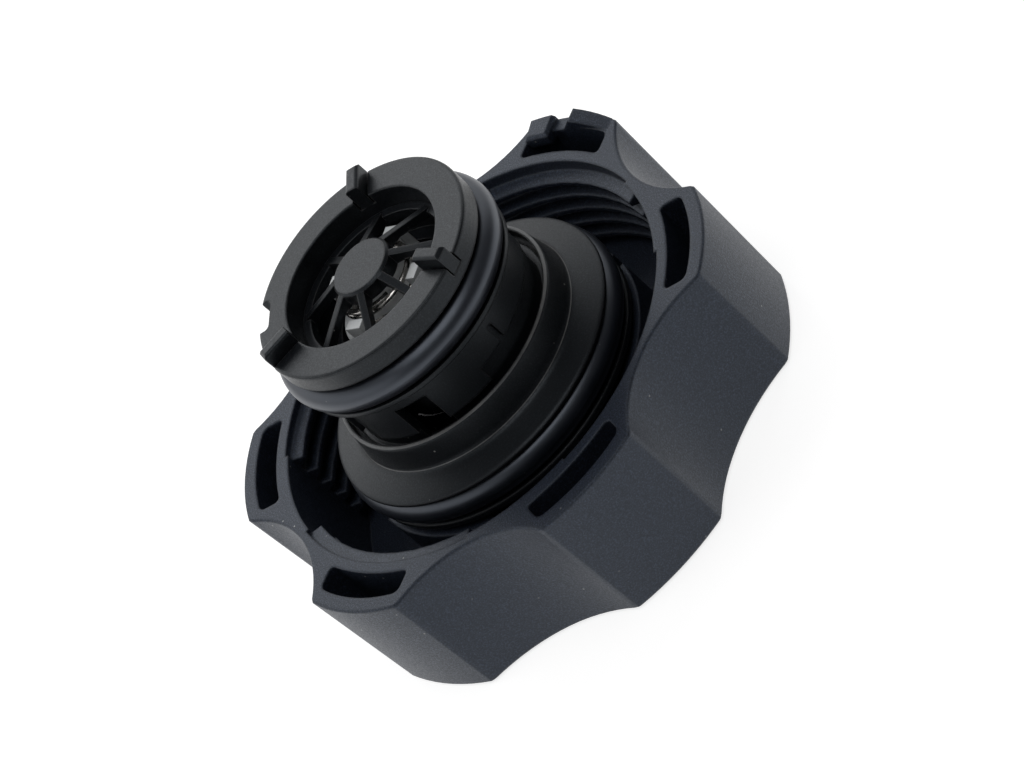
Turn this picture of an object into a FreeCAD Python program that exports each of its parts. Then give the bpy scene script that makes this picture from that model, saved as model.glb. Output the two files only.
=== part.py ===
import FreeCAD, Part
import math
import os

# Screw-on pressure cap of a coolant expansion tank, standing on its closed face.
# Millimetres. The axis is Z, the origin is the middle of the closed face, the plug points up.

V = FreeCAD.Vector

# Knob: one moulding with grip lobes, a skirt with an interrupted thread and a snap collar.
knob_height = 17.8
lobe_count = 6
corner_draft = 0.4
lobe_half_angle_rim = 12.55
lobe_half_angle_closed = 12.26
crown_rise_rim = 0.32
crown_rise_closed = 0.04
flute_wall = 1.03
flute_draft = 0.8
lobe_edge_cut = 0.35
closed_edge_cut = 0.5
rim_edge_cut = 0.15
closed_wall = 2.8
skirt_wall = 1.4

# Core-outs in the lobes, open at the rim.
pocket_depth = 3.17
pocket_outer_wall = 1.85
pocket_side_wall = 0.72
pocket_floor_wall = 3.0
pocket_inner_round = 0.6
pocket_outer_round = 1.1

# Interrupted single-start thread in relieved sectors of the skirt.
thread_pitch = 2.6
thread_crest_radius = 25.3
thread_depth = 1.6
thread_relief = 0.37
thread_crest_width = 0.65
thread_upper_flank = 0.35
thread_lower_flank = 0.85
thread_rim_distance = 0.2
thread_pieces = 19
thread_sectors = 4
thread_sector_angle = 60.0
thread_end_angle = 150.0
thread_bury = 0.3

# Stop block and ramp on the rim of one lobe.
stop_lobe_angle = -60.0
stop_block_start = 5.3
stop_block_end = 11.9
stop_block_height = 0.8
stop_block_depth = 0.9
stop_block_setback = 2.0
stop_block_round = 0.35
ramp_low_end = -11.0
ramp_high_end = 1.9
ramp_height = 1.4
ramp_nose = 1.7
ramp_depth = 0.5

# Snap collar on the knob's floor that holds the plug and lets it turn.
collar_wall = 1.5
collar_bead_height = 1.7
collar_bead_lead = 0.9
collar_fingers = 6
collar_slot_width = 2.6
collar_slot_sill = 1.6
collar_first_slot = 30.0

# Clearances.
turn_clearance = 0.35
axial_clearance = 0.3
slide_clearance = 0.1
seat_clearance = 0.03

# Base of the plug: neck with snap lip, large seal groove, shoulder and cup.
neck_radius = 17.0
neck_height = 9.3
neck_foot_height = 4.9
neck_wall = 2.0
lip_reach = 1.0
lip_height = 1.4
lip_lead = 0.8
base_flange_radius = 19.5
base_flange_height = 0.8
large_groove_root = 16.35
large_groove_width = 3.8
shoulder_radius = 19.38
shoulder_edge_height = 0.4
shoulder_rise = 1.07
cup_radius_low = 15.64
cup_radius_top = 15.05
cup_height = 3.86
cup_round = 0.25
crease_round = 0.5
edge_round = 0.2
trough_radius = 14.55
trough_depth = 1.5
socket_depth = 2.54
tube_wall = 1.6
base_bore = 12.3
base_floor_wall = 2.0
spring_boss_radius = 7.6
spring_boss_height = 1.6

# Valve body: cage with windows, small seal groove and nose ring.
cage_radius = 14.0
cage_wall = 1.4
cage_relief = 0.6
cage_relief_rise = 0.45
side_relief_height = 2.5
side_relief_start = 183.5
side_relief_end = 285.0
cage_height = 9.3
cage_flange_radius = 15.14
cage_flange_height = 0.65
small_groove_root = 12.05
small_groove_width = 4.25
nose_radius = 14.75
nose_height = 2.57
nose_chamfer = 0.4
nose_bore = 10.65
ledge_width = 0.65
ledge_drop = 4.4
web_height = 1.4
web_bore = 8.2
nib_radius = 8.8
nib_width = 0.4
nib_height = 0.3
window_count = 3
window_first = 148.5
window_angle = 18.0
window_height = 4.9
recess_angle = 107.5
recess_width = 17.0
recess_depth = 0.6
slit_angle = 200.8
slit_width = 3.0
slit_foot_width = 6.0
slit_height = 5.0
slit_foot_height = 1.4

# Slots, lugs and scallop of the nose ring.
lug_count = 3
lug_first = 90.5
slot_width = 2.15
slot_depth = 1.5
lug_width = 1.7
lug_height = 1.75
lug_round = 0.4
lug_reach = 14.65
lug_end_cut = 0.4
scallop_angle = 57.5
scallop_width = 4.6
scallop_depth = 1.6
scallop_round = 0.7

# Spoked end grille.
hub_radius = 3.95
hub_edge = 0.3
spoke_count = 8
spoke_first = 13.7
spoke_width = 0.95
spoke_depth = 1.3
spoke_fall = 3.0
spring_rest_radius = 5.4
grille_ring_wall = 1.1
grille_ring_height = 1.5

# Seal rings.
large_ring_section = 1.8
small_ring_section = 1.85

# Pressure valve, its seal and spring.
valve_disc_radius = 10.9
valve_disc_height = 1.5
valve_fin_count = 6
valve_fin_width = 1.6
valve_hub_radius = 7.65
valve_hub_rise = 0.9
valve_bore = 4.0
valve_guide_radius = 5.2
valve_guide_length = 2.6
valve_skirt_height = 3.2
valve_skirt_wall = 0.9
pressure_seal_height = 1.0
pressure_seal_outer = 10.4
pressure_wire = 1.5
pressure_coil_radius = 8.7
pressure_turns = 5.5

# Vacuum valve, its seal and spring.
vacuum_nib_radius = 5.5
vacuum_nib_width = 0.4
vacuum_nib_height = 0.25
vacuum_seal_height = 0.6
vacuum_seal_inner = 4.4
vacuum_seal_outer = 6.7
vacuum_disc_radius = 7.0
vacuum_disc_height = 0.9
vacuum_boss_height = 1.0
vacuum_stem_radius = 1.4
vacuum_stem_length = 4.6
vacuum_vane_width = 0.9
leg_count = 4
leg_first = 36.2
leg_inner_radius = 5.6
leg_outer_radius = 6.9
leg_width = 2.2
leg_height = 3.6
vacuum_wire = 0.7
vacuum_coil_radius = 4.8
vacuum_turns = 3.5

# Fineness of the lofted coils and thread ridges.
coil_steps = 16
wire_sides = 8
thread_steps = 10
round_steps = 3

# Levels that follow from the sizes above.
rim_z = knob_height
floor_z = closed_wall
neck_z = floor_z + axial_clearance
lip_z = neck_z + neck_foot_height
lip_top_z = lip_z + lip_height
bead_z = lip_top_z + axial_clearance
collar_top_z = bead_z + collar_bead_height
flange_z = neck_z + neck_height
groove_z = flange_z + base_flange_height
groove_top_z = groove_z + large_groove_width
shoulder_z = groove_top_z + shoulder_edge_height
cup_z = shoulder_z + shoulder_rise
cup_top_z = cup_z + cup_height
socket_z = cup_top_z - socket_depth
base_floor_z = neck_z + base_floor_wall
cage_top_z = socket_z + cage_height
small_groove_z = cage_top_z + cage_flange_height
nose_z = small_groove_z + small_groove_width
face_z = nose_z + nose_height
ledge_z = face_z - ledge_drop
slot_z = face_z - slot_depth
web_z = small_groove_z - web_height
nib_z = web_z - nib_height
disc_top_z = nib_z - pressure_seal_height
disc_z = disc_top_z - valve_disc_height
hub_top_z = nib_z + valve_hub_rise
vacuum_seat_z = hub_top_z + vacuum_nib_height
poppet_z = vacuum_seat_z + vacuum_seal_height
poppet_top_z = poppet_z + vacuum_disc_height
spring_rest_z = (face_z - spoke_depth - spoke_fall * (spring_rest_radius - hub_radius)
                 / (nose_bore - hub_radius))

# Radii that follow from the sizes above.
thread_root_radius = thread_crest_radius + thread_depth
skirt_bore = thread_root_radius - thread_relief
pocket_inner_radius = thread_root_radius + skirt_wall
pocket_outer_radius = pocket_inner_radius + pocket_depth
corner_radius_rim = pocket_outer_radius + pocket_outer_wall - crown_rise_rim
corner_radius_closed = corner_radius_rim - corner_draft
flute_floor_rim = thread_root_radius + flute_wall
flute_floor_closed = flute_floor_rim + flute_draft
pocket_width = 2 * (corner_radius_rim * math.sin(math.radians(lobe_half_angle_rim))
                    - pocket_side_wall)
lip_radius = neck_radius + lip_reach
collar_inner = lip_radius + turn_clearance
collar_outer = collar_inner + collar_wall
bead_radius = neck_radius + turn_clearance
socket_radius = cage_radius + seat_clearance
cage_bore = cage_radius - cage_wall
grille_radius = nose_bore - seat_clearance
guide_radius = cage_bore - slide_clearance
vane_radius = valve_bore - slide_clearance
spring_cup_radius = pressure_coil_radius + pressure_wire / 2 + turn_clearance


def polar(radius, degrees, z=0.0):
    angle = math.radians(degrees)
    return V(radius * math.cos(angle), radius * math.sin(angle), z)


def eased(before, at, after, size):
    """Points of a small round that replaces the corner at, in an outline of (radius, z) pairs."""
    ends = []
    for other in (before, after):
        run = math.hypot(other[0] - at[0], other[1] - at[1])
        share = size / run
        ends.append((at[0] + share * (other[0] - at[0]), at[1] + share * (other[1] - at[1])))
    points = []
    for i in range(round_steps + 1):
        t = i / round_steps
        points.append(tuple((1 - t) ** 2 * a + 2 * t * (1 - t) * c + t * t * b
                            for a, c, b in zip(ends[0], at, ends[1])))
    return points


def revolved(points, width=360.0, start=0.0):
    """Turn of a closed outline of (radius, z) pairs about Z."""
    corners = [V(r, 0, z) for r, z in points]
    face = Part.Face(Part.makePolygon(corners + corners[:1]))
    shape = face.revolve(V(0, 0, 0), V(0, 0, 1), width)
    shape.rotate(V(0, 0, 0), V(0, 0, 1), start)
    return shape


def sector(inner, outer, low, high, middle, width):
    """Block of an annulus, width degrees wide about the middle angle."""
    outline = [(inner, low), (outer, low), (outer, high), (inner, high)]
    return revolved(outline, width, middle - width / 2)


def bar(start, end, width, low, high, degrees, offset=0.0):
    """Radial bar with parallel sides at an angle about Z."""
    block = Part.makeBox(end - start, width, high - low, V(start, offset - width / 2, low))
    block.rotate(V(0, 0, 0), V(0, 0, 1), degrees)
    return block


def disc(radius, low, high):
    return Part.makeCylinder(radius, high - low, V(0, 0, low))


def pattern(shape, count, first=0.0):
    """Copies of a shape at even angles about Z."""
    copies = []
    for i in range(count):
        copy = shape.copy()
        copy.rotate(V(0, 0, 0), V(0, 0, 1), first + i * 360.0 / count)
        copies.append(copy)
    return copies


def ring(section, centre, z):
    return Part.makeTorus(centre, section, V(0, 0, z), V(0, 0, 1))


def coil(mean, wire, low, high, turns):
    """Compression spring with closed ends ground flat, lofted through sections of its wire."""
    total = high - low
    lead = wire * 1.04
    climb = (total - 2 * lead) / (turns - 2.0)
    steps = int(turns * coil_steps)
    sections = []
    for i in range(steps + 1):
        turn = turns * i / steps
        z = low + lead * min(turn, 1.0) + lead * max(turn - turns + 1.0, 0.0)
        z += climb * min(max(turn - 1.0, 0.0), turns - 2.0)
        corners = []
        for k in range(wire_sides):
            angle = 2 * math.pi * (k + 0.5) / wire_sides
            radius = mean + wire / 2 * math.cos(angle)
            corners.append(polar(radius, 360.0 * turn, z + wire / 2 * math.sin(angle)))
        sections.append(Part.makePolygon(corners + corners[:1]))
    return Part.makeLoft(sections, True, True).common(disc(mean + wire, low, high))


def lobed_outline(corner, half_angle, rise, flute_floor, z):
    """Closed outline of lobe crowns and concave flutes at one height, with cut corners."""
    step = 360.0 / lobe_count
    crown_cut = math.degrees(lobe_edge_cut / corner)
    flute_cut = math.degrees(0.5 * lobe_edge_cut / corner)
    edges = []
    for i in range(lobe_count):
        middle = i * step
        start = polar(corner + 0.1 * rise, middle - half_angle + crown_cut, z)
        end = polar(corner + 0.1 * rise, middle + half_angle - crown_cut, z)
        leave = polar(corner - lobe_edge_cut, middle + half_angle + flute_cut, z)
        arrive = polar(corner - lobe_edge_cut, middle + step - half_angle - flute_cut, z)
        following = polar(corner + 0.1 * rise, middle + step - half_angle + crown_cut, z)
        crown = polar(corner + rise, middle, z)
        floor = polar(flute_floor, middle + step / 2, z)
        edges.append(Part.Arc(start, crown, end).toShape())
        edges.append(Part.makeLine(end, leave))
        edges.append(Part.Arc(leave, floor, arrive).toShape())
        edges.append(Part.makeLine(arrive, following))
    return Part.Wire(edges)


def rim_outline(z):
    return lobed_outline(corner_radius_rim, lobe_half_angle_rim, crown_rise_rim,
                         flute_floor_rim, z)


def lobed_body():
    """Drafted grip body with chamfered closed end and rim."""
    closed = lobed_outline(corner_radius_closed, lobe_half_angle_closed, crown_rise_closed,
                           flute_floor_closed, 0.0)
    body = Part.makeLoft([closed, rim_outline(rim_z)], True, True)
    low = [e for e in body.Edges if e.BoundBox.ZMax < closed_edge_cut / 2]
    body = body.makeChamfer(closed_edge_cut, low)
    high = [e for e in body.Edges if e.BoundBox.ZMin > rim_z - rim_edge_cut / 2]
    return body.makeChamfer(rim_edge_cut, high)


def crown_circle(inset):
    """Centre distance and radius of the crown arc at the rim, moved inwards."""
    half = math.radians(lobe_half_angle_rim)
    chord = corner_radius_rim * math.cos(half)
    reach = corner_radius_rim * math.sin(half)
    rise = corner_radius_rim + crown_rise_rim - chord
    radius = (reach * reach + rise * rise) / (2 * rise)
    return corner_radius_rim + crown_rise_rim - radius, radius - inset


def pocket():
    """Core-out of the lobe on the X axis."""
    low = pocket_floor_wall
    high = rim_z + 1.0
    centre, radius = crown_circle(pocket_outer_wall)
    outer = Part.makeCylinder(radius, high - low, V(centre, 0, low))
    slab = Part.makeBox(corner_radius_rim, pocket_width, high - low, V(0, -pocket_width / 2, low))
    shape = slab.common(outer).cut(disc(pocket_inner_radius, low, high))
    middle = pocket_inner_radius + 0.6 * (centre + radius - pocket_inner_radius)
    upright = [e for e in shape.Edges if e.BoundBox.ZLength > (high - low) / 2]
    far = [e for e in upright if e.CenterOfMass.x > middle - 1.0]
    shape = shape.makeFillet(pocket_outer_round, far)
    upright = [e for e in shape.Edges if e.BoundBox.ZLength > (high - low) / 2]
    near = [e for e in upright if e.CenterOfMass.x < pocket_inner_radius]
    return shape.makeFillet(pocket_inner_round, near)


def thread_profile(angle):
    """Section of the helical ridge at an angle that counts on from turn to turn."""
    slope = thread_bury / (thread_root_radius - thread_crest_radius)
    root = thread_root_radius + thread_bury
    z = rim_z - thread_rim_distance - thread_upper_flank
    z -= thread_pitch * (thread_end_angle - angle) / 360.0
    low = z - thread_crest_width
    corners = [polar(root, angle, z + thread_upper_flank * (1 + slope)),
               polar(thread_crest_radius, angle, z), polar(thread_crest_radius, angle, low),
               polar(root, angle, low - thread_lower_flank * (1 + slope))]
    return Part.makePolygon(corners + corners[:1])


def thread_ridges():
    """Single-start ridge, one lofted piece for each sector that its turns pass."""
    pieces = []
    for i in range(thread_pieces):
        end = thread_end_angle - i * 360.0 / thread_sectors
        start = end - thread_sector_angle
        step = thread_sector_angle / thread_steps
        sections = [thread_profile(start + k * step) for k in range(thread_steps + 1)]
        pieces.append(Part.makeLoft(sections, True, True))
    return pieces


def thread_spaces(inner, outer, low, high):
    """Sectors of the skirt that carry thread."""
    middle = thread_end_angle - thread_sector_angle / 2
    block = sector(inner, outer, low, high, middle, thread_sector_angle)
    return pattern(block, thread_sectors)


def stop_block():
    """Raised block over the pocket end of one lobe, with eased top edges."""
    middle = (stop_block_start + stop_block_end) / 2
    width = stop_block_end - stop_block_start
    block = sector(pocket_inner_radius + stop_block_setback, 2 * corner_radius_rim,
                   rim_z - stop_block_depth, rim_z + stop_block_height, middle, width)
    top = [e for e in block.Edges if e.BoundBox.ZMin > rim_z
           and e.CenterOfMass.Length < 1.9 * corner_radius_rim]
    return block.makeChamfer(stop_block_round, top)


def ramp_block():
    """Ramp that falls along the outer wall of the same lobe."""
    high = corner_radius_rim * math.sin(math.radians(ramp_high_end))
    low = corner_radius_rim * math.sin(math.radians(ramp_low_end))
    points = [V(0, low, rim_z - ramp_depth), V(0, high, rim_z - ramp_depth), V(0, high, rim_z),
              V(0, high - ramp_nose, rim_z + ramp_height), V(0, low, rim_z)]
    face = Part.Face(Part.makePolygon(points + points[:1]))
    block = face.extrude(V(2 * corner_radius_rim, 0, 0))
    return block.cut(disc(pocket_outer_radius, rim_z - 1.0, rim_z + 2 * ramp_height))


def collar():
    """Slotted snap collar with an inward bead at its free end."""
    outline = [(collar_inner, floor_z - closed_wall / 2), (collar_outer, floor_z - closed_wall / 2),
               (collar_outer, collar_top_z), (bead_radius + collar_bead_lead, collar_top_z),
               (bead_radius, collar_top_z - collar_bead_lead), (bead_radius, bead_z),
               (collar_inner, bead_z)]
    shape = revolved(outline)
    slot = bar(neck_radius, collar_outer + 1.0, collar_slot_width, floor_z + collar_slot_sill,
               collar_top_z + 1.0, 0)
    return shape.cut(pattern(slot, collar_fingers, collar_first_slot))


def make_knob():
    body = lobed_body()
    body = body.cut(disc(skirt_bore, floor_z, rim_z + 1.0))
    body = body.cut(thread_spaces(skirt_bore - 1.0, thread_root_radius, floor_z, rim_z + 1.0))
    body = body.cut(pattern(pocket(), lobe_count))
    marks = stop_block().fuse(ramp_block())
    marks.rotate(V(0, 0, 0), V(0, 0, 1), stop_lobe_angle)
    envelope = Part.Face(rim_outline(rim_z - stop_block_depth)).extrude(V(0, 0, knob_height))
    body = body.fuse(marks.common(envelope))
    return body.fuse(thread_ridges() + [collar()])


def make_base_body():
    skirt_inner = neck_radius - neck_wall
    tube_outer = base_bore + tube_wall
    core_top = groove_top_z - neck_wall
    edge = (shoulder_radius, shoulder_z)
    crease = (cup_radius_low, cup_z)
    lip = (cup_radius_top, cup_top_z)
    mouth = (trough_radius, cup_top_z)
    trough = (trough_radius, cup_top_z - trough_depth)
    outline = [(skirt_inner, neck_z), (neck_radius, neck_z), (neck_radius, lip_z),
               (lip_radius, lip_z + lip_lead), (lip_radius, lip_top_z), (neck_radius, lip_top_z),
               (neck_radius, flange_z), (base_flange_radius, flange_z),
               (base_flange_radius, groove_z), (large_groove_root, groove_z),
               (large_groove_root, groove_top_z), (shoulder_radius, groove_top_z)]
    outline += eased((shoulder_radius, groove_top_z), edge, crease, edge_round)
    outline += eased(edge, crease, lip, crease_round)
    outline += eased(crease, lip, mouth, cup_round)
    outline += [mouth, trough, (socket_radius, trough[1]), (socket_radius, socket_z),
                (base_bore, socket_z), (base_bore, base_floor_z),
                (spring_boss_radius, base_floor_z),
                (spring_boss_radius, base_floor_z + spring_boss_height),
                (0, base_floor_z + spring_boss_height), (0, neck_z), (tube_outer, neck_z),
                (tube_outer, core_top), (skirt_inner, core_top)]
    return revolved(outline)


def cage_cuts():
    """Windows, recess, slit and side relief of the cage wall."""
    relief = cage_radius - cage_relief
    deep = cage_radius - recess_depth
    outside = cage_radius + 1.0
    window = sector(cage_bore - 1.0, outside, cup_top_z - trough_depth, cup_top_z + window_height,
                    0, window_angle)
    cuts = pattern(window, window_count, window_first)
    cuts.append(sector(deep, outside, cup_top_z, cup_top_z + window_height, recess_angle,
                       recess_width))
    cuts.append(sector(deep, outside, cup_top_z, cup_top_z + slit_height, slit_angle, slit_width))
    cuts.append(sector(deep, outside, cup_top_z, cup_top_z + slit_foot_height, slit_angle,
                       slit_foot_width))
    middle = (side_relief_start + side_relief_end) / 2
    cuts.append(sector(relief, outside, cup_top_z, cup_top_z + side_relief_height, middle,
                       side_relief_end - side_relief_start))
    return cuts


def nose_cuts():
    """Slots beside the lugs and the notch in the outer edge of the nose ring."""
    slot = bar(nose_bore - 1.0, nose_radius + 1.0, slot_width, slot_z, face_z + 1.0, 0)
    cuts = pattern(slot, lug_count, lug_first)
    notch = Part.makeBox(nose_radius, scallop_width, nose_height + 1.0,
                         V(nose_radius - scallop_depth, -scallop_width / 2, nose_z - 0.5))
    corners = [e for e in notch.Edges if e.BoundBox.ZLength > nose_height
               and e.CenterOfMass.x < nose_radius]
    notch = notch.makeFillet(scallop_round, corners)
    notch.rotate(V(0, 0, 0), V(0, 0, 1), scallop_angle)
    return cuts + [notch]


def lug():
    """Round-topped radial lug that stands in a slot of the nose ring."""
    top = face_z + lug_height
    low = slot_z - seat_clearance
    side = [V(nose_bore, 0, low), V(lug_reach, 0, low), V(lug_reach, 0, top - lug_end_cut),
            V(lug_reach - lug_end_cut, 0, top), V(nose_bore, 0, top)]
    shape = Part.Face(Part.makePolygon(side + side[:1])).extrude(V(0, lug_width, 0))
    shape.translate(V(0, -lug_width / 2, 0))
    ridge = [e for e in shape.Edges if e.BoundBox.ZMin > top - lug_end_cut / 2
             and e.BoundBox.XLength > lug_width]
    return shape.makeFillet(lug_round, ridge).cut(disc(nose_bore, low - 1.0, top + 1.0))


def make_valve_body():
    inner = nose_bore - ledge_width
    relief = cage_radius - cage_relief
    relief_low = cup_top_z - trough_depth
    relief_high = cup_top_z + cage_relief_rise
    brim = (nose_radius, face_z)
    face_edge = (nose_bore, face_z)
    outline = [(cage_bore, socket_z), (cage_radius, socket_z), (cage_radius, relief_low),
               (relief, relief_low), (relief, relief_high), (cage_radius, relief_high),
               (cage_radius, cage_top_z), (cage_flange_radius, cage_top_z),
               (cage_flange_radius, small_groove_z), (small_groove_root, small_groove_z),
               (small_groove_root, nose_z), (nose_radius, nose_z)]
    outline += eased((nose_radius, nose_z), brim, face_edge, nose_chamfer)
    outline += eased(brim, face_edge, (nose_bore, ledge_z), edge_round)
    outline += [(nose_bore, ledge_z), (inner, ledge_z), (inner, small_groove_z),
                (web_bore, small_groove_z), (web_bore, web_z), (nib_radius - nib_width / 2, web_z),
                (nib_radius - nib_width / 2, nib_z), (nib_radius + nib_width / 2, nib_z),
                (nib_radius + nib_width / 2, web_z), (cage_bore, web_z)]
    body = revolved(outline).cut(cage_cuts() + nose_cuts())
    return body.fuse(pattern(lug(), lug_count, lug_first))


def make_end_grille():
    inner = grille_radius - grille_ring_wall
    top = ledge_z + grille_ring_height
    body = disc(grille_radius, ledge_z, top).cut(disc(inner, ledge_z, top))
    hub = disc(hub_radius, spring_rest_z, face_z)
    hub = hub.makeChamfer(hub_edge, [e for e in hub.Edges if e.BoundBox.ZMin > face_z - hub_edge])
    end = inner + grille_ring_wall / 2
    fall = spoke_fall * (end - hub_radius) / (nose_bore - hub_radius)
    side = [V(0, 0, face_z - hub_edge), V(hub_radius, 0, face_z - hub_edge),
            V(end, 0, face_z - fall), V(end, 0, face_z - fall - spoke_depth),
            V(spring_rest_radius, 0, spring_rest_z), V(0, 0, spring_rest_z)]
    spoke = Part.Face(Part.makePolygon(side + side[:1])).extrude(V(0, spoke_width, 0))
    spoke.translate(V(0, -spoke_width / 2, 0))
    return body.fuse([hub] + pattern(spoke, spoke_count, spoke_first))


def make_large_seal_ring():
    centre = large_groove_root + large_ring_section + seat_clearance
    return ring(large_ring_section, centre, groove_z + large_groove_width / 2)


def make_small_seal_ring():
    centre = small_groove_root + small_ring_section + seat_clearance
    return ring(small_ring_section, centre, small_groove_z + small_ring_section + seat_clearance)


def make_pressure_valve():
    skirt_outer = spring_cup_radius + valve_skirt_wall
    low_nib = vacuum_nib_radius - vacuum_nib_width / 2
    high_nib = vacuum_nib_radius + vacuum_nib_width / 2
    outline = [(valve_bore, disc_z - valve_guide_length),
               (valve_guide_radius, disc_z - valve_guide_length), (valve_guide_radius, disc_z),
               (spring_cup_radius, disc_z), (spring_cup_radius, disc_z - valve_skirt_height),
               (skirt_outer, disc_z - valve_skirt_height), (skirt_outer, disc_z),
               (valve_disc_radius, disc_z), (valve_disc_radius, disc_top_z),
               (valve_hub_radius, disc_top_z), (valve_hub_radius, hub_top_z),
               (high_nib, hub_top_z), (high_nib, vacuum_seat_z), (low_nib, vacuum_seat_z),
               (low_nib, hub_top_z), (valve_bore, hub_top_z)]
    body = revolved(outline)
    fin = bar(valve_disc_radius - 0.5, guide_radius + 0.5, valve_fin_width, disc_z, disc_top_z, 0)
    fin = fin.common(disc(guide_radius, disc_z, disc_top_z))
    return body.fuse(pattern(fin, valve_fin_count))


def make_pressure_seal():
    inner = valve_hub_radius + slide_clearance
    return disc(pressure_seal_outer, disc_top_z, nib_z).cut(disc(inner, disc_top_z, nib_z))


def make_pressure_spring():
    return coil(pressure_coil_radius, pressure_wire, base_floor_z, disc_z, pressure_turns)


def make_vacuum_valve():
    low = vacuum_seat_z - vacuum_stem_length
    body = disc(vacuum_disc_radius, poppet_z, poppet_top_z)
    boss = vacuum_coil_radius - vacuum_wire / 2 - turn_clearance
    upper_boss = disc(boss, poppet_top_z, poppet_top_z + vacuum_boss_height)
    lower_boss = disc(vacuum_seal_inner - slide_clearance, vacuum_seat_z, poppet_z)
    stem = disc(vacuum_stem_radius, low, poppet_z)
    vane = bar(0, vane_radius + 1.0, vacuum_vane_width, low, vacuum_seat_z, 0)
    vane = vane.common(disc(vane_radius, low, vacuum_seat_z))
    leg = bar(leg_inner_radius, leg_outer_radius, leg_width, poppet_z, poppet_top_z + leg_height, 0)
    leg = leg.common(disc(vacuum_disc_radius, poppet_z, poppet_top_z + leg_height))
    return body.fuse([upper_boss, lower_boss, stem] + pattern(vane, leg_count, leg_first)
                     + pattern(leg, leg_count, leg_first))


def make_vacuum_seal():
    return disc(vacuum_seal_outer, vacuum_seat_z, poppet_z).cut(
        disc(vacuum_seal_inner, vacuum_seat_z, poppet_z))


def make_vacuum_spring():
    return coil(vacuum_coil_radius, vacuum_wire, poppet_top_z, spring_rest_z, vacuum_turns)


def main():
    os.makedirs("parts", exist_ok=True)
    pieces = {
        "knob": make_knob(),
        "base_body": make_base_body(),
        "valve_body": make_valve_body(),
        "end_grille": make_end_grille(),
        "large_seal_ring": make_large_seal_ring(),
        "small_seal_ring": make_small_seal_ring(),
        "pressure_valve": make_pressure_valve(),
        "pressure_seal": make_pressure_seal(),
        "pressure_spring": make_pressure_spring(),
        "vacuum_valve": make_vacuum_valve(),
        "vacuum_seal": make_vacuum_seal(),
        "vacuum_spring": make_vacuum_spring(),
    }
    for name, shape in pieces.items():
        solid = shape.removeSplitter()
        box = solid.BoundBox
        print(name, solid.isValid(), len(solid.Solids), round(solid.Volume, 1),
              round(box.ZMin, 2), round(box.ZMax, 2))
        solid.exportStep("parts/" + name + ".step")


main()
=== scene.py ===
import math

import bpy
from mathutils import Euler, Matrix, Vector


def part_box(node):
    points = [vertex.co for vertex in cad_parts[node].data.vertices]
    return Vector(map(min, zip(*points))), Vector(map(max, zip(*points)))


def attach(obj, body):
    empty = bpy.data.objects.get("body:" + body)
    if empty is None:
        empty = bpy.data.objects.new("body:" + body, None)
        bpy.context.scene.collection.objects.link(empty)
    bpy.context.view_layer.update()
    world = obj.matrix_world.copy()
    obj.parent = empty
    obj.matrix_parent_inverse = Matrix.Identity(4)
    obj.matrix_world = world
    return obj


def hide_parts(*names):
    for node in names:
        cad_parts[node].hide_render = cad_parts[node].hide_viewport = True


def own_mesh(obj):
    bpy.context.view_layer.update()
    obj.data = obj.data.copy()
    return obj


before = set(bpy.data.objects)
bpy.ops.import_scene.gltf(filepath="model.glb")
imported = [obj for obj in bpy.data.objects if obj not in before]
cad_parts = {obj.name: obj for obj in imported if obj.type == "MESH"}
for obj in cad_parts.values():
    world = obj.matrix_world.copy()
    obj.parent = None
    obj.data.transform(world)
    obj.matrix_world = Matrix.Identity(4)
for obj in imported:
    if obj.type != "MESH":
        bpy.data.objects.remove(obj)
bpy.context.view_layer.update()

# Lengths are in metres and angles in degrees. A fade or a tone is a row of stops of a colour
# ramp: a position, and a grey or a colour.

# Camera fitted to the photograph, in the part's own frame. Lens and sensor are in millimetres.
CAMERA_PLACE = (-0.355721, -0.020266, 0.262421)
CAMERA_TURN = (42.626, 38.2922, -120.7403)
CAMERA_LENS = 134.159
CAMERA_SHIFT = (0.003868, 0.004525)
CAMERA_NEAR = 0.01
SENSOR_WIDTH = 36.0

# White studio that is dim on the photographer's side and dark overhead.
DARK_SIDE = (-0.75, -0.56, 0.34)
SIDE_FADE = ((0.05, 1.0), (0.45, 0.07))
HEIGHT_FADE = ((0.0, 0.5), (0.35, 1.0), (0.62, 1.0), (0.78, 0.08))
STUDIO_FILL = 0.25

# Floor: its white under the lamps, and its grey and glow for the rays that see the studio.
FLOOR_REACH = 3.0
FLOOR_WHITE = 0.9
FLOOR_SEEN = 0.45
FLOOR_GLOW = 0.8

# Softboxes: azimuth, elevation, side, watts, and whether reflections show them.
LAMP_TARGET = (0, 0, 0.02)
LAMP_DISTANCE = 0.7
LAMPS = (
    ("left_box", 60.0, 35.0, 0.7, 1.8, False),
    ("right_box", 330.0, 35.0, 0.7, 1.8, False),
    ("back_box", 6.0, 33.0, 0.4, 0.5, True),
    ("top_box", 186.0, 72.0, 0.5, 1.6, True),
)

# Specks of dust: full strength inside the core, each as faint as a random share of the span.
DUST = (0.6, 0.6, 0.58)
DUST_CORE = 0.5
DUST_SPAN = 0.6
DUST_FAINTEST = 0.08

# Moulded plastic: sandy grain in the colour, the roughness and the surface.
SAND_FADE = ((0.42, 0.0), (0.56, 0.3), (0.7, 1.0))
SHEEN_SWING = 0.06
GRAIN_DEPTH = 0.00004
BEVEL_SAMPLES = 6

# Edges lightened by wear and by painted highlight, and painted highlight lines at creases, both
# patchy.
PATCH_FADE = ((0.35, 0.35), (0.6, 1.0))
WEAR_HIGHLIGHT_RADIUS = 0.00011
WEAR_HIGHLIGHT_FADE = ((0.9, 1.0), (0.99, 0.0))
CREASE_HIGHLIGHT_GAIN = 1.6

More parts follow.
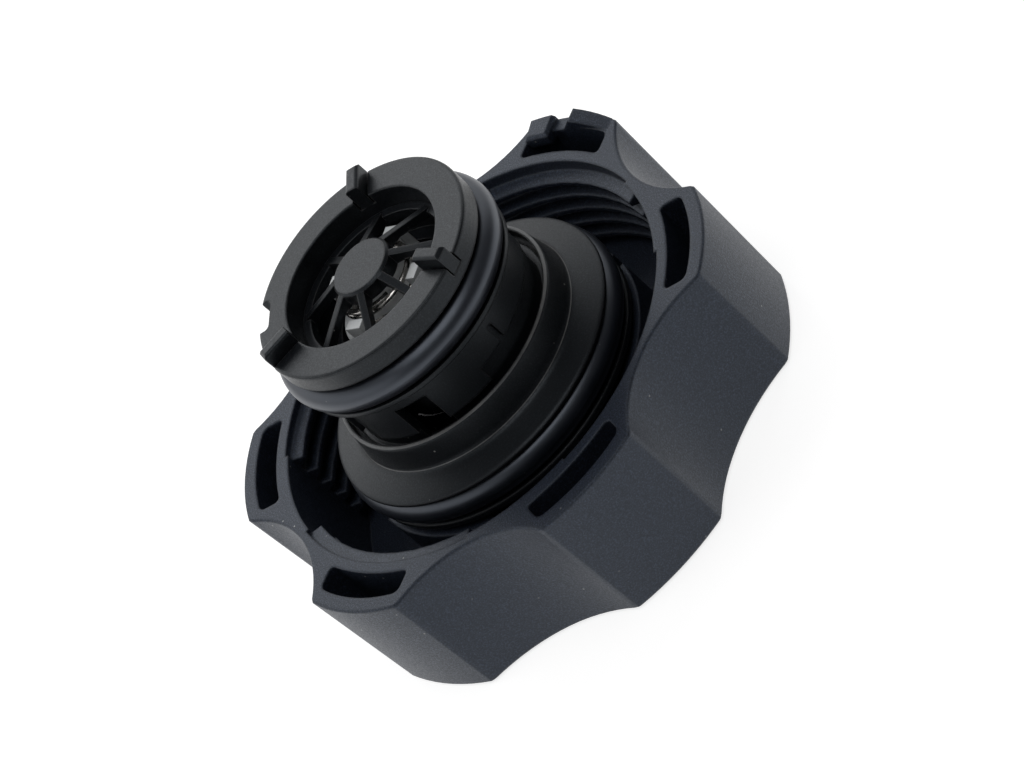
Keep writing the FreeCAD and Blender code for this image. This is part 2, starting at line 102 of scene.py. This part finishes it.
# Witness marks of the mould across the knob's rim.
RIM_LEVEL = 0.0178
RIM_SKIN = 0.0001
MARK_AZIMUTHS = (60.0, 90.0, 150.0, 241.0, 270.0)
MARK_REACH = 0.0285
MARK_HALF_WIDTH = 0.00006
MARK_STRENGTH = 0.8
MARK_GREY = 0.002

# Painted highlight lines at the creases of the base body: from radius, to radius, height, half
# width.
BASE_CREASE_HIGHLIGHTS = ((0.0151, 0.0164, 0.01862, 0.00005), (0.0147, 0.0152, 0.02226, 0.00007))

# Wire coils: pitch of the end turns in wire thicknesses, sides of the wire, steps in a turn.
END_PITCH = 1.04
WIRE_SIDES = 14
TURN_STEPS = 48

# Sockets of a Mix node that mixes colours.
MIX_FACTOR, MIX_UNDER, MIX_OVER, MIX_RESULT = 0, 6, 7, 2


def cleared(item):
    """Emptied node tree of a material or a world."""
    item.use_nodes = True
    item.node_tree.nodes.clear()
    return item.node_tree


def rgba(colour):
    """Colour with its fourth channel, from three channels or from one grey."""
    return (*colour, 1.0) if isinstance(colour, tuple) else (colour, colour, colour, 1.0)


def put(tree, node, feeds):
    """Link or set a node's inputs, by name or number."""
    for key, value in feeds.items():
        socket = node.inputs[key]
        if isinstance(value, bpy.types.NodeSocket):
            tree.links.new(value, socket)
        elif socket.type == "RGBA":
            socket.default_value = rgba(value)
        else:
            socket.default_value = value


def add(tree, kind, feeds=None, **settings):
    """New node with its settings made and its inputs fed."""
    node = tree.nodes.new("ShaderNode" + kind)
    for key, value in settings.items():
        setattr(node, key, value)
    put(tree, node, feeds or {})
    return node


def calc(tree, operation, *terms):
    """Math node whose inputs are sockets or numbers."""
    return add(tree, "Math", dict(enumerate(terms)), operation=operation).outputs[0]


def times(tree, first, second):
    return calc(tree, "MULTIPLY", first, second)


def noise(tree, place, scale, detail, rough):
    node = add(tree, "TexNoise", {"Vector": place.outputs["Object"], "Scale": scale,
                                  "Detail": detail, "Roughness": rough})
    return node.outputs[0]


def ramp(tree, source, stops):
    node = add(tree, "ValToRGB", {0: source})
    elements = node.color_ramp.elements
    while len(elements) < len(stops):
        elements.new(0.5)
    for element, (position, colour) in zip(elements, stops):
        element.position = position
        element.color = rgba(colour)
    return node.outputs[0]


def blend_in(tree, mask, under, over, kind="MIX"):
    """Mix node that lays a colour over another where the mask is high."""
    node = add(tree, "Mix", {MIX_FACTOR: mask, MIX_UNDER: under, MIX_OVER: over},
               data_type="RGBA", blend_type=kind)
    return node.outputs[MIX_RESULT]


def rounded(tree, radius, samples=BEVEL_SAMPLES):
    """Normal that is rounded near sharp edges."""
    return add(tree, "Bevel", {"Radius": radius}, samples=samples).outputs[0]


def specks(tree, place, spacing, size, share):
    """Mask of sparse round specks of dust."""
    cells = add(tree, "TexVoronoi", {"Vector": place.outputs["Object"], "Scale": 1.0 / spacing})
    reach = size / spacing
    near = ramp(tree, cells.outputs["Distance"], ((reach * DUST_CORE, 1.0), (reach, 0.0)))
    chance = add(tree, "SeparateColor", {0: cells.outputs["Color"]})
    picked = calc(tree, "LESS_THAN", chance.outputs[0], share)
    faint = calc(tree, "MULTIPLY_ADD", chance.outputs[1], DUST_SPAN, DUST_FAINTEST)
    return times(tree, times(tree, near, picked), faint)


def worn_and_highlit_edges(tree):
    """Mask of a narrow band along the sharp edges, where wear and painted highlight lighten the
    colour.
    """
    soft = rounded(tree, WEAR_HIGHLIGHT_RADIUS)
    flat = add(tree, "NewGeometry")
    turn = add(tree, "VectorMath", {0: soft, 1: flat.outputs["Normal"]},
               operation="DOT_PRODUCT")
    return ramp(tree, turn.outputs["Value"], WEAR_HIGHLIGHT_FADE)


def from_axis(tree, place):
    """The part's x, y and z, and the distance from its axis."""
    x, y, z = add(tree, "SeparateXYZ", {0: place.outputs["Object"]}).outputs
    reach = calc(tree, "SQRT", calc(tree, "MULTIPLY_ADD", x, x, times(tree, y, y)))
    return x, y, z, reach


def painted_crease_highlights(tree, place, crease_highlights):
    """Mask of fine lines around the axis, painted on as highlights."""
    _, _, z, reach = from_axis(tree, place)
    total = 0.0
    for low, high, level, half_width in crease_highlights:
        inside = times(tree, calc(tree, "GREATER_THAN", reach, low),
                       calc(tree, "LESS_THAN", reach, high))
        height = calc(tree, "ABSOLUTE", calc(tree, "SUBTRACT", z, level))
        near = calc(tree, "LESS_THAN", height, half_width)
        total = calc(tree, "MAXIMUM", total, times(tree, inside, near))
    return total


def witness_marks(tree, place, azimuths):
    """Mask of fine radial lines across the rim, where the mould's inserts met."""
    x, y, z, reach = from_axis(tree, place)
    on_rim = times(tree, calc(tree, "GREATER_THAN", z, RIM_LEVEL - RIM_SKIN),
                   calc(tree, "LESS_THAN", reach, MARK_REACH))
    total = 0.0
    for azimuth in azimuths:
        c, s = math.cos(math.radians(azimuth)), math.sin(math.radians(azimuth))
        along = calc(tree, "MULTIPLY_ADD", x, c, times(tree, y, s))
        across = calc(tree, "ABSOLUTE", calc(tree, "MULTIPLY_ADD", x, -s, times(tree, y, c)))
        line = times(tree, calc(tree, "LESS_THAN", across, MARK_HALF_WIDTH),
                     calc(tree, "GREATER_THAN", along, 0.0))
        total = calc(tree, "MAXIMUM", total, line)
    return times(tree, times(tree, total, on_rim), MARK_STRENGTH)


def principled(name):
    material = bpy.data.materials.new(name)
    tree = cleared(material)
    output = add(tree, "OutputMaterial")
    shader = add(tree, "BsdfPrincipled")
    put(tree, output, {0: shader.outputs[0]})
    return material, tree, shader


def moulded(name, low, high, roughness, gloss, tint, sand_gain, grain, edge_radius, wear_and_highlight,
            marks=(), crease_highlights=()):
    """Satin moulded plastic: fine grain, cloudy tone, dust, edges lightened by wear and painted
    highlight, painted highlight lines at creases, and marks.
    """
    material, tree, shader = principled(name)
    place = add(tree, "TexCoord")
    cloud = noise(tree, place, scale=90.0, detail=4.0, rough=0.6)
    fine = noise(tree, place, scale=5000.0, detail=2.0, rough=0.6)
    colour = ramp(tree, cloud, ((0.3, low), (0.7, high)))
    sand = ramp(tree, fine, SAND_FADE)
    colour = blend_in(tree, sand, colour, tuple(sand_gain * c for c in high))
    dust = specks(tree, place, spacing=0.0012, size=0.00015, share=0.08)
    colour = blend_in(tree, dust, colour, DUST)
    if marks:
        colour = blend_in(tree, witness_marks(tree, place, marks), colour, MARK_GREY)
    patchy = ramp(tree, cloud, PATCH_FADE)
    # Wear and painted highlight lighten the colour along sharp edges.
    colour = blend_in(tree, times(tree, worn_and_highlit_edges(tree), patchy), colour, wear_and_highlight)
    # Painted highlight lines at the base body's creases.
    if crease_highlights:
        lines = times(tree, painted_crease_highlights(tree, place, crease_highlights), patchy)
        colour = blend_in(tree, lines, colour, CREASE_HIGHLIGHT_GAIN * wear_and_highlight)
    sheen = ramp(tree, fine, ((0.35, roughness + SHEEN_SWING), (0.65, roughness - SHEEN_SWING)))
    bump = add(tree, "Bump", {"Strength": grain, "Distance": GRAIN_DEPTH, "Height": fine,
                              "Normal": rounded(tree, edge_radius)})
    put(tree, shader, {"Base Color": colour, "Roughness": sheen, "Specular IOR Level": gloss,
                       "Specular Tint": tint, "Normal": bump.outputs[0]})
    return material


def clouded(name, scale, detail, rough, tone, sheen, dust=None):
    """Material whose colour and roughness follow one cloudy noise."""
    material, tree, shader = principled(name)
    place = add(tree, "TexCoord")
    cloud = noise(tree, place, scale, detail, rough)
    colour = ramp(tree, cloud, tone)
    if dust:
        colour = blend_in(tree, specks(tree, place, **dust), colour, DUST)
    put(tree, shader, {"Base Color": colour, "Roughness": ramp(tree, cloud, sheen)})
    return material, tree, shader, cloud


def rubber(name):
    material, tree, shader, cloud = clouded(
        name, scale=220.0, detail=4.0, rough=0.6,
        tone=((0.3, (0.006, 0.007, 0.01)), (0.7, (0.011, 0.0125, 0.017))),
        sheen=((0.3, 0.34), (0.75, 0.44)),
        dust={"spacing": 0.0013, "size": 0.0001, "share": 0.05})
    bump = add(tree, "Bump", {"Strength": 0.15, "Distance": 0.00005, "Height": cloud})
    put(tree, shader, {"IOR": 1.7, "Specular IOR Level": 0.6,
                       "Specular Tint": (0.78, 0.86, 1.0), "Normal": bump.outputs[0]})
    return material


def white_plastic(name):
    material, tree, shader, _ = clouded(
        name, scale=300.0, detail=3.0, rough=0.5,
        # Grey rather than white: the tone is lowered as painted shade for the valve inside the
        # cap.
        tone=((0.3, (0.5, 0.52, 0.53)), (0.7, (0.62, 0.64, 0.65))),
        sheen=((0.3, 0.4), (0.7, 0.5)))
    put(tree, shader, {"Normal": rounded(tree, 0.0002, samples=4)})
    return material


def wire_steel(name, low, high):
    material, tree, shader, _ = clouded(
        name, scale=900.0, detail=3.0, rough=0.5,
        tone=((0.3, low), (0.7, high)), sheen=((0.3, 0.2), (0.75, 0.32)))
    put(tree, shader, {"Metallic": 1.0})
    return material


def wire_coil(node, wire, turns, material):
    """Round wire spring with ground ends, in the space of the plain CAD spring.

    The first and the last turn lie close, and the turns between them climb.
    """
    low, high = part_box(node)
    mean = (high[0] - low[0] - wire) / 2
    bottom, top = low[2], high[2]
    lead = wire * END_PITCH
    climb = (top - bottom - 2 * lead) / (turns - 2.0)
    points, faces = [], []
    for i in range(int(turns * TURN_STEPS) + 1):
        turn = i / TURN_STEPS
        z = bottom + lead * min(turn, 1.0) + lead * max(turn - turns + 1.0, 0.0)
        z += climb * min(max(turn - 1.0, 0.0), turns - 2.0)
        a = 2 * math.pi * turn
        for k in range(WIRE_SIDES):
            b = 2 * math.pi * k / WIRE_SIDES
            r = mean + wire / 2 * math.cos(b)
            level = min(max(z + wire / 2 * math.sin(b), bottom), top)
            points.append((r * math.cos(a), r * math.sin(a), level))
        if i:
            first = (i - 1) * WIRE_SIDES
            for k in range(WIRE_SIDES):
                n = (k + 1) % WIRE_SIDES
                faces.append((first + k, first + n,
                              first + WIRE_SIDES + n, first + WIRE_SIDES + k))
    faces.append(tuple(reversed(range(WIRE_SIDES))))
    faces.append(tuple(range(len(points) - WIRE_SIDES, len(points))))
    mesh = bpy.data.meshes.new(node + "_wire")
    mesh.from_pydata(points, [], faces)
    mesh.shade_smooth()
    mesh.materials.append(material)
    piece = bpy.data.objects.new(node + "_wire", mesh)
    bpy.context.scene.collection.objects.link(piece)
    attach(piece, "plug")
    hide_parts(node)
    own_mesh(piece)


def paint(node, material):
    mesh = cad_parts[node].data
    mesh.materials.clear()
    mesh.materials.append(material)


def background_rays(tree):
    """One for camera, glossy and transmission rays, which see the white studio."""
    rays = add(tree, "LightPath").outputs
    return calc(tree, "MAXIMUM", rays["Is Camera Ray"],
                calc(tree, "MAXIMUM", rays["Is Glossy Ray"], rays["Is Transmission Ray"]))


def by_ray(tree, output, lighting, seen):
    """Give background_rays the seen shader, and all other rays the lighting one."""
    mix = add(tree, "MixShader", {0: background_rays(tree), 1: lighting.outputs[0],
                                  2: seen.outputs[0]})
    put(tree, output, {0: mix.outputs[0]})


def make_floor():
    mesh = bpy.data.meshes.new("floor")
    reach = FLOOR_REACH
    corners = [(-reach, -reach, 0), (reach, -reach, 0), (reach, reach, 0), (-reach, reach, 0)]
    mesh.from_pydata(corners, [], [(0, 1, 2, 3)])
    floor = bpy.data.objects.new("floor", mesh)
    bpy.context.scene.collection.objects.link(floor)
    material = bpy.data.materials.new("floor")
    tree = cleared(material)
    output = add(tree, "OutputMaterial")
    white = add(tree, "BsdfDiffuse", {0: FLOOR_WHITE})
    faint = add(tree, "BsdfDiffuse", {0: FLOOR_SEEN})
    glow = add(tree, "Emission", {1: FLOOR_GLOW})
    pale = add(tree, "AddShader", {0: faint.outputs[0], 1: glow.outputs[0]})
    by_ray(tree, output, white, pale)
    mesh.materials.append(material)


def make_world():
    """White studio that reflections see faded, the camera plain and the lighting rays dim."""
    world = bpy.data.worlds.new("studio")
    bpy.context.scene.world = world
    tree = cleared(world)
    world.cycles.sampling_method = "NONE"
    output = add(tree, "OutputWorld")
    rays = add(tree, "LightPath")
    direction = add(tree, "TexCoord").outputs["Generated"]
    side = add(tree, "VectorMath", {0: direction, 1: DARK_SIDE}, operation="DOT_PRODUCT")
    front = ramp(tree, side.outputs["Value"], SIDE_FADE)
    split = add(tree, "SeparateXYZ", {0: direction})
    level = ramp(tree, split.outputs["Z"], HEIGHT_FADE)
    shade = blend_in(tree, 1.0, front, level, "MULTIPLY")
    white = blend_in(tree, rays.outputs["Is Camera Ray"], shade, 1.0)
    seen = add(tree, "Background", {0: white})
    dim = add(tree, "Background", {0: shade, 1: STUDIO_FILL})
    by_ray(tree, output, dim, seen)


def make_lamp(name, azimuth, elevation, size, power, mirrored):
    light = bpy.data.lights.new(name, "AREA")
    light.size = size
    light.energy = power
    item = bpy.data.objects.new(name, light)
    a, e = math.radians(azimuth), math.radians(elevation)
    aim = Vector((math.cos(a) * math.cos(e), math.sin(a) * math.cos(e), math.sin(e)))
    place = aim * LAMP_DISTANCE
    item.location = place + Vector(LAMP_TARGET)
    item.rotation_euler = (-place).to_track_quat("-Z", "Y").to_euler()
    item.visible_glossy = mirrored
    bpy.context.scene.collection.objects.link(item)


def make_camera():
    data = bpy.data.cameras.new("camera")
    data.lens = CAMERA_LENS
    data.sensor_width = SENSOR_WIDTH
    data.shift_x, data.shift_y = CAMERA_SHIFT
    data.clip_start = CAMERA_NEAR
    camera = bpy.data.objects.new("camera", data)
    camera.location = CAMERA_PLACE
    camera.rotation_euler = Euler([math.radians(a) for a in CAMERA_TURN])
    bpy.context.scene.collection.objects.link(camera)
    bpy.context.scene.camera = camera


knob_plastic = moulded(
    "knob_plastic", low=(0.0036, 0.0048, 0.0085), high=(0.006, 0.0078, 0.0125),
    roughness=0.46, gloss=0.6, tint=(0.74, 0.84, 1.0), sand_gain=5.5, grain=1.0,
    edge_radius=0.0005, wear_and_highlight=0.03, marks=MARK_AZIMUTHS)
PLUG_LOOK = {
    "low": (0.003, 0.0036, 0.0046), "high": (0.005, 0.0058, 0.007),
    "roughness": 0.36, "gloss": 0.34, "tint": (0.84, 0.92, 1.0), "sand_gain": 3.0,
    "grain": 0.22, "wear_and_highlight": 0.1}
plug_plastic = moulded("plug_plastic", edge_radius=0.0003, **PLUG_LOOK)
base_plastic = moulded("base_plastic", edge_radius=0.0007, crease_highlights=BASE_CREASE_HIGHLIGHTS, **PLUG_LOOK)
ring_rubber = rubber("ring_rubber")
# The white valve's greyed tone is painted shade.
shaded_valve_white = white_plastic("shaded_valve_white")
steel = wire_steel("spring_wire", low=(0.5, 0.48, 0.46), high=(0.68, 0.66, 0.63))
# Darker copy of the spring steel: painted shade for the spring that sits in shade inside the
# plug.
shaded_steel = wire_steel("shaded_spring_wire", low=(0.06, 0.06, 0.062), high=(0.1, 0.1, 0.103))

paint("knob", knob_plastic)
paint("base_body", base_plastic)
for name in ("valve_body", "end_grille", "pressure_valve"):
    paint(name, plug_plastic)
for name in ("large_seal_ring", "small_seal_ring", "pressure_seal", "vacuum_seal"):
    paint(name, ring_rubber)
paint("vacuum_valve", shaded_valve_white)
wire_coil("pressure_spring", wire=0.0015, turns=5.5,
          material=shaded_steel)
wire_coil("vacuum_spring", wire=0.0007, turns=3.5,
          material=steel)

make_floor()
make_world()
for lamp in LAMPS:
    make_lamp(*lamp)
make_camera()
bpy.context.scene.view_settings.view_transform = "Standard"
